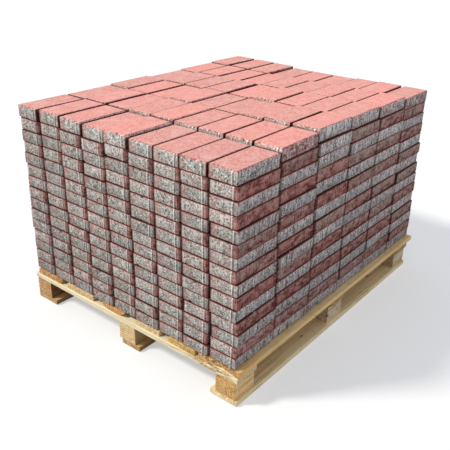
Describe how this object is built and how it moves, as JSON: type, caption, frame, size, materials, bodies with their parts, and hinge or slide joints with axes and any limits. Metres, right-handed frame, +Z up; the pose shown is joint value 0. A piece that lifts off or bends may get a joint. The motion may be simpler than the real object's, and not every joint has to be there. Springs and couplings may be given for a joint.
{
  "type": "stack of concrete pavers",
  "caption": "Loaded softwood block pallet with a tight stack of two-tone red and grey rectangular concrete pavers.",
  "frame": {"origin": "on the floor, below the middle of the loaded pallet", "axes": "+Z up, +X across the short side, +Y along the long side, in which the pavers lie"},
  "size_m": [0.9805, 1.236, 0.7703],
  "materials": {
    "paver_concrete": "rough",
    "core_concrete": "rough",
    "softwood": "sawn"
  },
  "bodies": {
    "root": {"paver_layer_01": "paver_concrete", "paver_layer_02": "paver_concrete", "paver_layer_03": "paver_concrete", "paver_layer_04": "paver_concrete", "paver_layer_05": "paver_concrete", "paver_layer_06": "paver_concrete", "paver_layer_07": "paver_concrete", "paver_layer_08": "paver_concrete", "paver_layer_09": "paver_concrete", "paver_layer_10": "paver_concrete", "paver_layer_11": "paver_concrete", "paver_layer_12": "paver_concrete", "paver_layer_13": "paver_concrete", "paver_layer_14": "paver_concrete", "paver_layer_15": "paver_concrete", "paver_core": "core_concrete", "deck_board_1": "softwood", "deck_board_2": "softwood", "deck_board_3": "softwood", "deck_board_4": "softwood", "deck_board_5": "softwood", "deck_board_6": "softwood", "stringer_board_front": "softwood", "stringer_board_middle": "softwood", "stringer_board_rear": "softwood", "block_left_front": "softwood", "block_left_middle": "softwood", "block_left_rear": "softwood", "block_middle_front": "softwood", "block_middle_middle": "softwood", "block_middle_rear": "softwood", "block_right_front": "softwood", "block_right_middle": "softwood", "block_right_rear": "softwood", "runner_board_left": "softwood", "runner_board_middle": "softwood", "runner_board_right": "softwood"}
  },
  "joints": []
}
